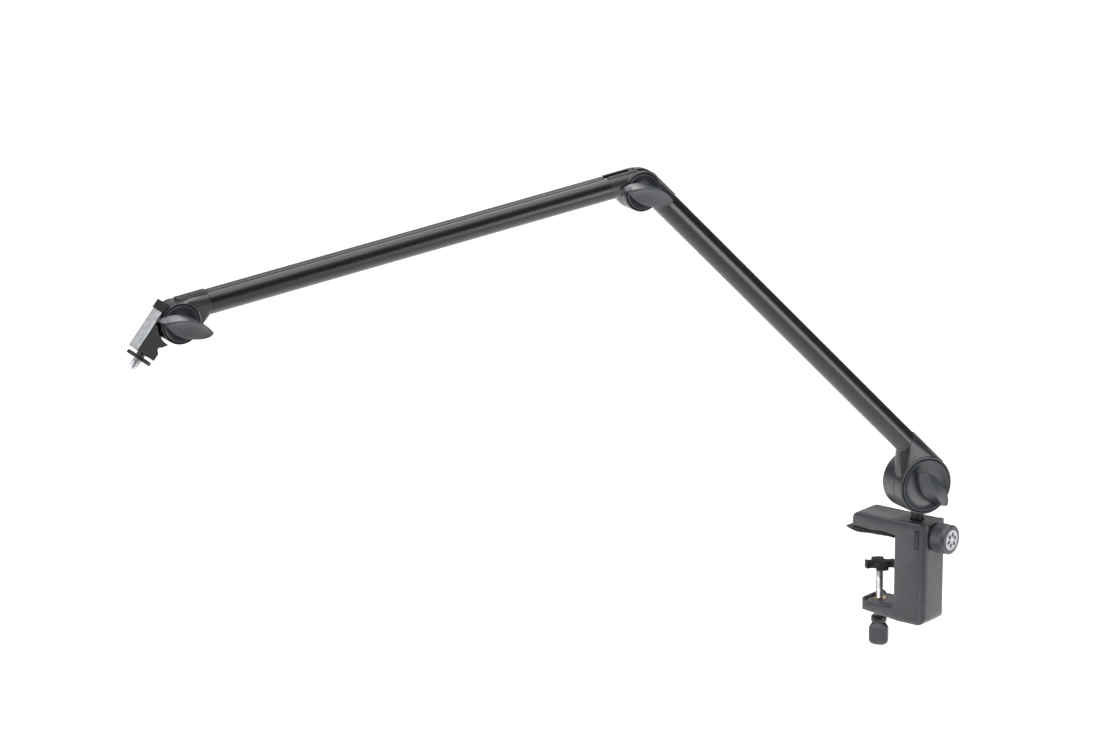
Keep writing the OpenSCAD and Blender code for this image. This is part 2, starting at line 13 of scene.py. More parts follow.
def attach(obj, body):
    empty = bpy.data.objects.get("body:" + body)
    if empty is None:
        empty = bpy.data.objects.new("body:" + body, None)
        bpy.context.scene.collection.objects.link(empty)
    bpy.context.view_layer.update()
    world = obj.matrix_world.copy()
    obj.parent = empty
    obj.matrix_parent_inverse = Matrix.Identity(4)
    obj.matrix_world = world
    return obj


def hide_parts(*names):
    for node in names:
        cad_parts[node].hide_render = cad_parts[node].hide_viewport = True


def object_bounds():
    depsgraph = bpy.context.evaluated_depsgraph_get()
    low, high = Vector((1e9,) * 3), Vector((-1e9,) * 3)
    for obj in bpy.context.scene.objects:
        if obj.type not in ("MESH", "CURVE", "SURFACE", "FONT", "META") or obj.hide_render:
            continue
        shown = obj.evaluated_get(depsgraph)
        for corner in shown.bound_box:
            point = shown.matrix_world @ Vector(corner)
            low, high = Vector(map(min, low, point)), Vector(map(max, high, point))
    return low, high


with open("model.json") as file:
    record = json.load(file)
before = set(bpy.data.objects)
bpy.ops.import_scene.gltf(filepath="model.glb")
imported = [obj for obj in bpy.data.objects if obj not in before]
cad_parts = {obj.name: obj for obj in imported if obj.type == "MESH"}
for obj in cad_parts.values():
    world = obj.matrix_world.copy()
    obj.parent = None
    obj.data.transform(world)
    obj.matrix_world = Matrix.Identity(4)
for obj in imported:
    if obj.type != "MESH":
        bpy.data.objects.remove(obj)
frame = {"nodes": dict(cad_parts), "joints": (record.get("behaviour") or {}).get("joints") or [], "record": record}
cad_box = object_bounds()

# ---- Driving values, in millimetres and degrees ----
MM = 0.001
LOWER_SLOPE = 44.8
UPPER_SLOPE = -8.7
HEAD_SLOPE = -52.0

# Clamp, measured from the clamp screw's axis and the desk's top. SEAM_X is where the side covers meet
# the rear shell.
CLAMP_W = 38.0
CLAMP_TOP = 22.0
CLAMP_BOTTOM = -89.0
JAW_FRONT = -24.0
LOWER_JAW_FRONT = -10.0
LOWER_JAW_T = 15.5
JAW_RISE = 4.5
JAW_RISE_END = 36.0
THROAT = 30.0
REAR_X = 70.0
SEAM_X = 64.0
PAD_T = 5.0
COVER_T = 3.0
GROOVE_W = 1.3
GROOVE_DEPTH = 2.5
BOSS_R = 13.0
JAW_BORE_R = 7.0
SCREW_SPOTS = ((-14, 13), (38, 13), (38, -79))
SCREW_HOLE_R = 3.1
POCKET_FRONT = SEAM_X - 8.3
POCKET_REAR = SEAM_X - 3.1
POCKET_LOW = -5.2
POCKET_HIGH = 15.2
STEM_X = 46.0
STEM_R = 6.5
LOCK_Z = 6.5
KNOB_BACK = 72.0
KNOB_R = 16.0
KNOB_RING = 13.5
KNOB_CAP = 4.5
DISC_R = 11.0
DISC_RECESS = 0.5

# Clamp screw
SPINDLE_R = 4.0
SPINDLE_PITCH = 1.25
SPINDLE_DEPTH = 0.55
PAD_TOP = -33.0
PRESSURE_PAD_T = 8.0
COLLAR_TOP = -93.0
COLLAR_BOTTOM = -101.0
COLLAR_R = 8.5
PADDLE_BOTTOM = -126.0
PADDLE_TURN = 20.0

# Joints: how far each casting's near face is from the arm's middle plane, how deep the knob's dish is
# set into it, the dish's radius, and how far the wing's long tip drops below the arm's level plane
BASE_FACE = 16.0
JOINT_FACE = 12.0
DISH_RECESS = 3.6
BASE_DISH_R = 28.0
JOINT_DISH_R = 18.3
BASE_WING_TURN = 48.0
JOINT_WING_TURN = 15.0
WING_TIP = 34.5

# Head
HEAD_LEN = 44.0
HEAD_HALF_W = 10.0
HEAD_OUTER = 24.0
STUD_OFFSET = 12.2
STUD_R = 4.7625
STUD_PITCH = 1.5875
STUD_DEPTH = 0.7
NUT_START = 47.0
NUT_T = 3.7
NUT_R = 13.0
STUD_TIP = 61.5

# Camera: level heading, downward pitch, and where the base pivot lies in its view, in millimetres
CAMERA_HEADING = 38.09
CAMERA_PITCH = 15.0
CAMERA_LENS = 155.03
PIVOT_RIGHT = 386.4
PIVOT_BELOW = 114.5
PIVOT_AHEAD = 4974.9

# Floor, in metres: pale grey in front, as painted shade for the object's near and lower faces to reflect, and
# white behind the object from WHITE_FROM on
FLOOR_Z = -0.35
FLOOR_HALF = 30.0
GREY_UNTIL = -0.85
WHITE_FROM = -0.25
FRONT_FLOOR_SHADE = (0.46, 0.465, 0.47)
REAR_FLOOR = (0.95, 0.95, 0.955)

# Studio: power, angular width and tilts of the overhead light, and the wall's grey by the sine of
# elevation. Each softbox has its place to the right, behind and above the object's middle, its width
# and depth, all in metres, and its power.
OVERHEAD_POWER = 3.0
OVERHEAD_SPREAD = 95.0
OVERHEAD_TILTS = (8.0, -10.0)
WALL_SHADES = ((0.0, 0.3), (0.05, 0.08), (0.45, 0.06), (0.85, 0.4))
WALL_TINT = (0.96, 0.98, 1.0)
SOFTBOXES = (
    ("key", -2.4, -1.6, 1.3, 1.2, 1.2, 8),
    ("side", 2.4, -1.05, 0.0, 1.3, 1.0, 14),
    ("rim", 0.2, 1.4, 2.4, 1.2, 1.2, 20),
    ("back", 0.0, 3.0, 0.9, 2.6, 0.8, 6),
    ("top", -0.9, -0.55, 2.6, 1.0, 0.5, 7),
)

# ---- Local frames ----
JOINTS = {joint["name"]: joint for joint in frame["joints"]}


def joint_point(name):
    """Where a joint's axis is anchored, in metres."""
    return Vector(JOINTS[name]["pos_m"])


NEAR = -Vector(JOINTS["base_tilt"]["axis"]).normalized()
UP = Vector((0, 0, 1))
OUT = NEAR.cross(UP)


def arm_frame(joint, slope):
    """Matrix from an arm's local frame at a joint, in millimetres, to the object's frame, in metres."""
    angle = math.radians(slope)
    along = OUT * math.cos(angle) + UP * math.sin(angle)
    upper = UP * math.cos(angle) - OUT * math.sin(angle)
    turn = Matrix((along, NEAR, upper)).transposed().to_4x4()
    return Matrix.Translation(joint_point(joint)) @ turn @ Matrix.Scale(MM, 4)


AT_CLAMP = Matrix.Scale(MM, 4)
AT_HEAD = arm_frame("head_tilt", HEAD_SLOPE)

# ---- Outlines and solids ----


def arc(cx, cy, r, start, end, steps=8):
    """Points along an arc, by degrees, both ends included."""
    turns = [math.radians(start + (end - start) * i / steps) for i in range(steps + 1)]
    return [(cx + r * math.cos(a), cy + r * math.sin(a)) for a in turns]


def prism(outline, low, high, plane="XZ"):
    """bmesh of an outline extruded from low to high across its plane."""
    place = {
        "XZ": lambda a, b, d: (a, d, b),
        "XY": lambda a, b, d: (a, b, d),
        "YZ": lambda a, b, d: (d, a, b),
    }[plane]
    bm = bmesh.new()
    rings = [[bm.verts.new(place(a, b, d)) for a, b in outline] for d in (low, high)]
    bm.faces.new(rings[0])
    bm.faces.new(reversed(rings[1]))
    count = len(outline)
    for i in range(count):
        j = (i + 1) % count
        bm.faces.new((rings[0][i], rings[1][i], rings[1][j], rings[0][j]))
    return bm


def skin(rings):
    """bmesh over a row of closed rings of points; a ring of one point closes the end."""
    bm = bmesh.new()
    made = [[bm.verts.new(p) for p in ring] for ring in rings]
    for a, b in zip(made, made[1:]):
        count = max(len(a), len(b))
        for i in range(count):
            j = (i + 1) % count
            corners = [a[i % len(a)], a[j % len(a)], b[j % len(b)], b[i % len(b)]]
            bm.faces.new(list(dict.fromkeys(corners)))
    for ring in (made[0], made[-1]):
        if len(ring) > 1:
            bm.faces.new(ring)
    return bm


def about(axis, centre):
    """Function that places a point (a, b) across an axis and h along it."""
    return {
        "X": lambda a, b, h: (h, centre[0] + a, centre[1] + b),
        "Y": lambda a, b, h: (centre[0] + a, h, centre[1] + b),
        "Z": lambda a, b, h: (centre[0] + a, centre[1] + b, h),
    }[axis]


def lathe(profile, axis="Y", steps=72, centre=(0, 0)):
    """bmesh of (radius, height) points revolved about an axis; radius 0 closes the end."""
    place = about(axis, centre)
    rings = []
    for r, h in profile:
        if r == 0:
            rings.append([place(0, 0, h)])
            continue
        turns = [2 * math.pi * i / steps for i in range(steps)]
        rings.append([place(r * math.cos(a), r * math.sin(a), h) for a in turns])
    return skin(rings)


def thread(radius, pitch, depth, low, high, axis, centre=(0, 0)):
    """bmesh of a threaded rod: a V-shaped helix between two plain chamfered ends."""
    place = about(axis, centre)
    steps = 32
    rings_per_turn = 6
    count = int((high - low) / pitch * rings_per_turn)
    rings = [[place(0, 0, low)]]
    for k in range(count + 1):
        h = low + (high - low) * k / count
        end = min(1.0, (h - low) / pitch, (high - h) / pitch)
        ring = []
        for i in range(steps):
            phase = (h / pitch - i / steps) % 1.0
            r = radius - depth * (1 - end) - depth * end * abs(2 * phase - 1)
            a = 2 * math.pi * i / steps
            ring.append(place(r * math.cos(a), r * math.sin(a), h))
        rings.append(ring)
    rings.append([place(0, 0, high)])
    return skin(rings)


# ---- Objects ----


def make(name, bm, matrix=AT_CLAMP, sharp=35):
    """Object of a bmesh drawn in a local frame, with smooth shading between its sharp edges."""
    bm.transform(matrix)
    bmesh.ops.recalc_face_normals(bm, faces=bm.faces)
    mesh = bpy.data.meshes.new(name)
    bm.to_mesh(mesh)
    bm.free()
    piece = bpy.data.objects.new(name, mesh)
    bpy.context.scene.collection.objects.link(piece)
    shade(piece, sharp)
    return piece


def shade(piece, sharp=35):
    """Smooth shading, except across edges sharper than an angle in degrees."""
    for face in piece.data.polygons:
        face.use_smooth = True
    piece.data.set_sharp_from_angle(angle=math.radians(sharp))


def bake(piece):
    """Applies a piece's modifiers to its mesh."""
    graph = bpy.context.evaluated_depsgraph_get()
    graph.update()
    mesh = bpy.data.meshes.new_from_object(piece.evaluated_get(graph))
    piece.modifiers.clear()
    old = piece.data
    piece.data = mesh
    bpy.data.meshes.remove(old)
    return piece


def bevel(piece, width, segments, angle=30):
    """Rounds a piece's edges sharper than the angle; width in millimetres."""
    rounding = piece.modifiers.new("round", "BEVEL")
    rounding.width = width * MM
    rounding.segments = segments
    rounding.limit_method = "ANGLE"
    rounding.angle_limit = math.radians(angle)
    rounding.miter_outer = "MITER_ARC"
    bake(piece)
    shade(piece, 50)
    return piece


def boolean(piece, other, operation):
    """Joins or cuts a piece with another, which is used up."""
    step = piece.modifiers.new("boolean", "BOOLEAN")
    step.object = other
    step.operation = operation
    step.solver = "EXACT"
    bake(piece)
    bpy.data.objects.remove(other)
    shade(piece)
    return piece


def cad_copy(name, node):
    """Closed copy of a CAD node's mesh, to soften or cut."""
    bm = bmesh.new()
    bm.from_mesh(frame["nodes"][node].data)
    bmesh.ops.remove_doubles(bm, verts=bm.verts, dist=1e-6)
    bmesh.ops.dissolve_limit(bm, angle_limit=math.radians(0.5), verts=bm.verts, edges=bm.edges)
    return make(name, bm, Matrix.Identity(4))


def soften(piece, voxel=0.45, passes=3):
    """Rounds every edge and inner corner as a moulding's are, by remeshing and smoothing."""
    cells = piece.modifiers.new("cells", "REMESH")
    cells.mode = "VOXEL"
    cells.voxel_size = voxel * MM
    cells.use_smooth_shade = True
    smooth = piece.modifiers.new("smooth", "SMOOTH")
    smooth.factor = 0.5
    smooth.iterations = passes
    bake(piece)
    for face in piece.data.polygons:
        face.use_smooth = True
    return piece


# ---- Materials ----


class Shader:
    """A Principled material whose colour, roughness and relief come from object-space noise."""

    def __init__(self, name, roughness, **sockets):
        self.mat = bpy.data.materials.new(name)
        self.mat.use_nodes = True
        self.nodes = self.mat.node_tree.nodes
        self.links = self.mat.node_tree.links
        self.bsdf = self.nodes["Principled BSDF"]
        self.bsdf.inputs["Roughness"].default_value = roughness
        for socket, value in sockets.items():
            self.bsdf.inputs[socket.replace("_", " ")].default_value = value
        self.place = self.nodes.new("ShaderNodeTexCoord").outputs["Object"]
        self.relief = None

    def node(self, kind, **values):
        """New node with its inputs set."""
        made = self.nodes.new(kind)
        for key, value in values.items():
            made.inputs[key].default_value = value
        return made

    def noise(self, scale, detail, place=None):
        """Noise over object space, or over another vector."""
        made = self.node("ShaderNodeTexNoise", Scale=scale, Detail=detail, Roughness=0.55)
        self.links.new(place or self.place, made.inputs["Vector"])
        return made.outputs["Fac"]

    def along(self, way):
        """How far a point is along a direction, in metres."""
        dot = self.node("ShaderNodeVectorMath")
        dot.operation = "DOT_PRODUCT"
        dot.inputs[1].default_value = way
        self.links.new(self.place, dot.inputs[0])
        return dot.outputs["Value"]

    def streaks(self, direction, scale):
        """Noise that varies only across a direction, as drawing or brushing lines do."""
        axis = Vector(direction).normalized()
        side = axis.orthogonal().normalized()
        other = axis.cross(side)
        squeezed = self.node("ShaderNodeCombineXYZ")
        for index, (way, gain) in enumerate(((axis, 0.01), (side, 1.0), (other, 1.0))):
            self.links.new(self.along(way * gain), squeezed.inputs[index])
        return self.noise(scale, 2.0, squeezed.outputs["Vector"])

    def colour(self, fac, low, high, start=0.35, end=0.65):
        """Base colour that goes from low to high as fac goes from start to end."""
        made = self.node("ShaderNodeValToRGB")
        for stop, place, tone in zip(made.color_ramp.elements, (start, end), (low, high)):
            stop.position = place
            stop.color = (*tone, 1)
        self.links.new(fac, made.inputs["Fac"])
        self.links.new(made.outputs["Color"], self.bsdf.inputs["Base Color"])

    def rough(self, fac, low, high):
        """Roughness that goes from low to high as fac goes from 0 to 1."""
        made = self.node("ShaderNodeMapRange")
        made.inputs["To Min"].default_value = low
        made.inputs["To Max"].default_value = high
        self.links.new(fac, made.inputs["Value"])
        self.links.new(made.outputs["Result"], self.bsdf.inputs["Roughness"])

    def bump(self, fac, strength, distance_mm):
        """Fine relief, added to what is there already."""
        made = self.node("ShaderNodeBump", Strength=strength, Distance=distance_mm * MM)
        self.links.new(fac, made.inputs["Height"])
        if self.relief:
            self.links.new(self.relief, made.inputs["Normal"])
        self.relief = made.outputs["Normal"]
        self.links.new(self.relief, self.bsdf.inputs["Normal"])


def grey(level, blue=1.28):
    """Slightly blue grey; blue is how much stronger the blue is than the red."""
    return (level, level * (1 + (blue - 1) * 0.4), level * blue)


def moulded(name, level, roughness=0.42, grain=2600, relief=0.25, gloss=0.6):
    """Fine-grained moulded plastic or powder coat with faint mottling."""
    s = Shader(name, roughness, Specular_IOR_Level=gloss)
    s.colour(s.noise(90, 4), grey(level * 0.88), grey(level * 1.14))
    s.rough(s.noise(240, 3), roughness - 0.05, roughness + 0.07)
    s.bump(s.noise(grain, 2), relief, 0.03)
    return s.mat


def anodised(name, direction):
    """Satin black anodised tube with faint drawing lines along it."""
    s = Shader(name, 0.28, Specular_IOR_Level=0.85)
    s.colour(s.noise(60, 3), grey(TUBE_GREY * 0.9), grey(TUBE_GREY * 1.15))
    s.rough(s.streaks(direction, 900), 0.24, 0.32)
    s.bump(s.streaks(direction, 1600), 0.12, 0.01)
    s.bump(s.noise(5200, 2), 0.14, 0.012)
    return s.mat


def metal(name, low, high, roughness, grain=1800, relief=0.12):
    """Plated or cast metal with slight tarnish and grain."""
    s = Shader(name, roughness, Metallic=1.0)
    s.colour(s.noise(160, 4), low, high)
    s.rough(s.noise(420, 3), roughness - 0.04, roughness + 0.06)
    s.bump(s.noise(grain, 3), relief, 0.02)
    return s.mat


def rubber(name, level):
    """Matt black rubber with a coarse grain."""
    s = Shader(name, 0.72)
    s.colour(s.noise(220, 4), grey(level * 0.8, 1.04), grey(level * 1.3, 1.04))
    s.rough(s.noise(500, 2), 0.64, 0.82)
    s.bump(s.noise(3400, 2), 0.4, 0.05)
    return s.mat


def spun(name, centre):
    """Bright end disc with fine turned rings about its centre."""
    s = Shader(name, 0.28, Metallic=1.0)
    away = s.node("ShaderNodeVectorMath")
    away.operation = "DISTANCE"
    away.inputs[1].default_value = centre
    s.links.new(s.place, away.inputs[0])
    rings = s.node("ShaderNodeTexNoise", Scale=3000.0, Detail=2.0)
    rings.noise_dimensions = "1D"
    s.links.new(away.outputs["Value"], rings.inputs["W"])
    s.colour(rings.outputs["Fac"], (0.42, 0.43, 0.45), (0.6, 0.61, 0.63))
    s.rough(s.noise(300, 3), 0.2, 0.34)
    s.bump(rings.outputs["Fac"], 0.2, 0.01)
    return s.mat


def fibre(name):
    """Pressed brown fibre."""
    s = Shader(name, 0.8)
    s.colour(s.noise(900, 5), (0.2, 0.17, 0.11), (0.42, 0.36, 0.25))
    s.bump(s.noise(1400, 4), 0.5, 0.05)
    return s.mat


def arm_way(joint, slope):
    """Direction in which an arm runs."""
    return arm_frame(joint, slope).to_3x3() @ Vector((1, 0, 0))


TUBE_GREY = 0.006
MATERIALS = {
    "frame_black": moulded("frame_black", 0.036, 0.38, gloss=0.8),
    "cover_plastic": moulded("cover_plastic", 0.036, 0.34, gloss=0.8),
    "inlay_plastic": moulded("inlay_plastic", 0.02, 0.34, relief=0.12),
    "pad_rubber": rubber("pad_rubber", 0.02),
    "brass": metal("brass", (0.55, 0.38, 0.15), (0.78, 0.58, 0.26), 0.3),
    "bright_steel": metal("bright_steel", (0.68, 0.69, 0.71), (0.86, 0.87, 0.9), 0.16),
    "zinc_steel": metal("zinc_steel", (0.42, 0.43, 0.45), (0.6, 0.61, 0.64), 0.32),
    "black_steel": moulded("black_steel", 0.01, 0.36, relief=0.14),
    "knob_plastic": moulded("knob_plastic", 0.042, 0.34, gloss=0.8),
    "knob_disc": spun("knob_disc", Vector((KNOB_BACK + KNOB_RING + KNOB_CAP, 0, LOCK_Z)) * MM),
    "tube_black": anodised("lower_tube_black", arm_way("base_tilt", LOWER_SLOPE)),
    "strip_black": moulded("strip_black", 0.008, 0.5),
    "fitting_black": moulded("fitting_black", 0.024, 0.34, gloss=0.8),
    "head_silver": metal("head_silver", (0.62, 0.63, 0.65), (0.8, 0.81, 0.83), 0.5, relief=0.35),
    "friction_fibre": fibre("friction_fibre"),
    "thrust_plastic": moulded("thrust_plastic", 0.6, 0.5),
}
UPPER_TUBE_BLACK = anodised("upper_tube_black", arm_way("elbow_fold", UPPER_SLOPE))
HEAD_BLOCK_BLACK = moulded("head_block_black", 0.016, 0.4)
SLOT_OF = {row["node"]: row["material_slot"] for row in frame["record"]["subparts"]}


def finish_with(piece, slot, material=None):
    """Gives a piece its slot's material, or another one."""
    piece.data.materials.clear()
    piece.data.materials.append(material or MATERIALS[slot])
    for face in piece.data.polygons:
        face.material_index = 0


for node, shape in frame["nodes"].items():
    finish_with(shape, SLOT_OF[node], UPPER_TUBE_BLACK if node == "upper_tube" else None)


def stand_for(piece, body, *nodes, material=None):
    """The piece rides on a body in place of CAD nodes and takes the first node's material slot."""
    slot = SLOT_OF[nodes[0]]
    finish_with(piece, slot, material)
    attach(piece, body)
    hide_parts(*nodes)
    return piece


# ---- Camera, lights and floor ----


def put(name, data):
    """New camera or light object in the scene."""
    thing = bpy.data.objects.new(name, data)
    bpy.context.scene.collection.objects.link(thing)
    return thing


def set_camera(right, level):
    """Camera that looks along a level direction, tipped down by its pitch."""
    pitch = math.radians(CAMERA_PITCH)
    ahead = level * math.cos(pitch) - UP * math.sin(pitch)
    above = right.cross(ahead)
    camera = put("camera", bpy.data.cameras.new("camera"))
    from_pivot = above * PIVOT_BELOW - right * PIVOT_RIGHT - ahead * PIVOT_AHEAD
    camera.location = joint_point("base_tilt") + from_pivot * MM
    camera.rotation_euler = Matrix((right, above, -ahead)).transposed().to_euler()
    camera.data.sensor_width = 36
    camera.data.lens = CAMERA_LENS
    camera.data.clip_end = 100
    bpy.context.scene.camera = camera


def set_lights(right, level):
    """Softboxes aimed at the object's middle, a broad overhead light and the studio's walls."""
    middle = (cad_box[0] + cad_box[1]) / 2
    for name, sideways, back, height, width, depth, power in SOFTBOXES:
        light = bpy.data.lights.new(name, "AREA")
        light.shape = "RECTANGLE"
        light.size = width
        light.size_y = depth
        light.energy = power
        lamp = put(name, light)
        lamp.location = middle + right * sideways + level * back + UP * height
        lamp.rotation_euler = (lamp.location - middle).to_track_quat("Z", "Y").to_euler()

    overhead = bpy.data.lights.new("overhead", "SUN")
    overhead.energy = OVERHEAD_POWER
    overhead.angle = math.radians(OVERHEAD_SPREAD)
    put("overhead", overhead).rotation_euler = (*map(math.radians, OVERHEAD_TILTS), 0)

    world = bpy.data.worlds.new("studio")
    world.use_nodes = True
    nodes, links = world.node_tree.nodes, world.node_tree.links
    height = nodes.new("ShaderNodeSeparateXYZ")
    shades = nodes.new("ShaderNodeValToRGB")
    links.new(nodes.new("ShaderNodeTexCoord").outputs["Generated"], height.inputs["Vector"])
    links.new(height.outputs["Z"], shades.inputs["Fac"])
    links.new(shades.outputs["Color"], nodes["Background"].inputs["Color"])
    while len(shades.color_ramp.elements) < len(WALL_SHADES):
        shades.color_ramp.elements.new(1.0)
    for stop, (place, shade_of_grey) in zip(shades.color_ramp.elements, WALL_SHADES):
        stop.position = place
        stop.color = (*(shade_of_grey * tint for tint in WALL_TINT), 1)
    bpy.context.scene.world = world
    bpy.context.scene.view_settings.view_transform = "Standard"


def set_floor(level):
    """Pale floor that turns from grey to white along a level direction; the grey front is painted shade that the
    object reflects.
    """
    bm = bmesh.new()
    bmesh.ops.create_grid(bm, x_segments=1, y_segments=1, size=FLOOR_HALF)
    floor = make("floor", bm, Matrix.Translation((0, 0, FLOOR_Z)))
    paint = Shader("floor", 0.8)
    sweep = paint.node("ShaderNodeMapRange")
    sweep.inputs["From Min"].default_value = GREY_UNTIL
    sweep.inputs["From Max"].default_value = WHITE_FROM
    paint.links.new(paint.along(level), sweep.inputs["Value"])
    # the grey in front is painted shade for the object's reflections; the white behind is the backdrop
    paint.colour(sweep.outputs["Result"], FRONT_FLOOR_SHADE, REAR_FLOOR, 0.0, 1.0)
    floor.data.materials.append(paint.mat)


def set_stage():
    """Camera, lights and floor, along the camera's heading."""
    heading = math.radians(CAMERA_HEADING)
    right = Vector((math.cos(heading), math.sin(heading), 0))
    level = Vector((-math.sin(heading), math.cos(heading), 0))
    set_camera(right, level)
    set_lights(right, level)
    set_floor(level)


set_stage()

# ---- Clamp ----


def clamp_outline(inset=0.0):
    """Side view of the C-frame in X and Z, drawn in by an inset all round."""
    top = CLAMP_TOP - inset
    jaw = PAD_T + inset
    inner = CLAMP_BOTTOM + LOWER_JAW_T - inset
    spine = THROAT + inset
    foot = CLAMP_BOTTOM + inset
    rear = REAR_X - inset
    front = JAW_FRONT + inset
    lower = LOWER_JAW_FRONT + inset
    front_r = 8.0 - inset
    foot_r = 10.0
    throat_r = 8.0
    lip = 3.0
    outline = [(front, jaw)]
    outline += arc(front + front_r, top - front_r, front_r, 180, 90)
    outline += [(rear, top)]
    outline += arc(rear - foot_r, foot + foot_r, foot_r, 0, -90)
    outline += [(JAW_RISE_END, foot), (lower, foot + JAW_RISE)]
    outline += [(lower, inner + lip), (lower + lip, inner + lip)]
    outline += arc(lower + 2 * lip, inner + lip, lip, 180, 270, 5)
    outline += arc(spine - throat_r, inner + throat_r, throat_r, -90, 0)
    outline += [(spine, jaw)]
    return outline


def clipped(outline, limit):
    """Outline with every point behind a limit in X brought forward to it."""
    return [(min(x, limit), z) for x, z in outline]


def without_repeats(outline):
    """Outline without points that lie on the one before."""
    kept = []
    for point in outline:
        if not kept or math.dist(kept[-1], point) > 1e-4:
            kept.append(point)
    return kept


def clamp_body():
    """C-frame with the rounded rear shell, the lock knob's boss and the bores for stem and screw."""
    w = CLAMP_W / 2
    half = w - COVER_T
    core = make("clamp_body", prism(without_repeats(clipped(clamp_outline(), SEAM_X)), -half, half))
    bevel(core, 0.9, 2)

    corner_r = 6.0
    plan = [(SEAM_X - 2, -w)]
    plan += arc(REAR_X - corner_r, -w + corner_r, corner_r, -90, 0)
    plan += arc(REAR_X - corner_r, w - corner_r, corner_r, 0, 90)
    plan += [(SEAM_X - 2, w)]
    shell = make("rear_shell", prism(plan, CLAMP_BOTTOM, CLAMP_TOP, "XY"))
    foot_r = 12.0
    foot = [(REAR_X + 1, CLAMP_BOTTOM - 1), (REAR_X + 1, CLAMP_BOTTOM + foot_r + 2)]
    foot += arc(REAR_X - foot_r, CLAMP_BOTTOM + foot_r, foot_r, 0, -90)[1:]
    foot += [(REAR_X - foot_r, CLAMP_BOTTOM - 1)]
    boolean(shell, make("foot_cut", prism(foot, -30, 30)), "DIFFERENCE")
    bevel(shell, 2.2, 4, 40)
    boolean(core, shell, "UNION")

    boss_end = REAR_X + 1
    profile = [(0, REAR_X - 4), (BOSS_R, REAR_X - 4), (BOSS_R, boss_end - 0.7),
               (BOSS_R - 0.6, boss_end), (0, boss_end)]
    boolean(core, make("boss", lathe(profile, "X", centre=(0, LOCK_Z))), "UNION")

    well_r = STEM_R + 0.7
    profile = [(0, CLAMP_TOP - 4), (well_r, CLAMP_TOP - 4), (well_r, CLAMP_TOP - 0.8),
               (well_r + 1, CLAMP_TOP + 0.2), (0, CLAMP_TOP + 0.2)]
    boolean(core, make("stem_well", lathe(profile, "Z", centre=(STEM_X, 0))), "DIFFERENCE")

    low, high = CLAMP_BOTTOM - 1, CLAMP_BOTTOM + LOWER_JAW_T + 1
    profile = [(0, low), (JAW_BORE_R, low), (JAW_BORE_R, high), (0, high)]
    boolean(core, make("jaw_bore", lathe(profile, "Z")), "DIFFERENCE")
    return stand_for(core, "clamp", "clamp_frame")


def pocket_outline(gap=0.0):
    """The inlay's pocket in the near cover, in X and Z, drawn in by a gap."""
    front, rear = POCKET_FRONT + gap, POCKET_REAR - gap
    low, high = POCKET_LOW + gap, POCKET_HIGH - gap
    return [(front, low), (rear, low), (rear, high), (front, high)]


def side_cover(side):
    """Cover with a chamfered rim, on a set-back base, so that a groove runs round it."""
    outer = CLAMP_W / 2
    base = outer - COVER_T + 0.1
    step = base + GROOVE_W
    lip = 0.5
    rings = []
    for y, inset in ((base, lip + GROOVE_DEPTH), (step, lip + GROOVE_DEPTH), (step, lip),
                     (step + 0.2, lip / 2), (outer - 1.2, lip / 2), (outer - 1.0, lip),
                     (outer - 0.15, 2.2), (outer, 2.8)):
        outline = clipped(clamp_outline(inset), SEAM_X - 0.3 - inset)
        rings.append([(x, side * y, z) for x, z in outline])
    bm = skin(rings)
    bmesh.ops.remove_doubles(bm, verts=bm.verts, dist=1e-4)
    name = "near" if side < 0 else "far"
    piece = make(name + "_cover", bm, sharp=24)
    if side < 0:
        boolean(piece, make("pocket", prism(pocket_outline(), -outer - 1, -outer + 1.6)), "DIFFERENCE")
    else:
        low, high = outer - 1.2, outer + 1
        profile = [(0, low), (SCREW_HOLE_R, low), (SCREW_HOLE_R, high), (0, high)]
        for spot in SCREW_SPOTS:
            boolean(piece, make("screw_hole", lathe(profile, "Y", 32, spot)), "DIFFERENCE")
    return stand_for(piece, "clamp", name + "_side_cover")


def cover_screws():
    """Countersunk screws with hexagon sockets in the far cover."""
    top = CLAMP_W / 2 - 0.35
    head_profile = [(0, top - 0.8), (2.3, top - 0.8), (2.9, top - 0.3), (2.9, top - 0.1), (2.7, top),
                    (0, top)]
    socket_profile = [(0, top - 0.6), (1.1, top - 0.6), (1.1, top + 1), (0, top + 1)]
    screws = None
    for spot in SCREW_SPOTS:
        head = make("cover_screw_heads", lathe(head_profile, "Y", 32, spot))
        boolean(head, make("socket", lathe(socket_profile, "Y", 6, spot)), "DIFFERENCE")
        screws = boolean(screws, head, "UNION") if screws else head
    return stand_for(screws, "clamp", "cover_screws")


def blank_inlay():
    """Blank rectangle that stands just proud of the near cover."""
    face = -CLAMP_W / 2 - 0.1
    piece = make("inlay", prism(pocket_outline(0.6), face, face + 1.3))
    bevel(piece, 0.45, 3)
    return stand_for(piece, "clamp", "blank_inlay")


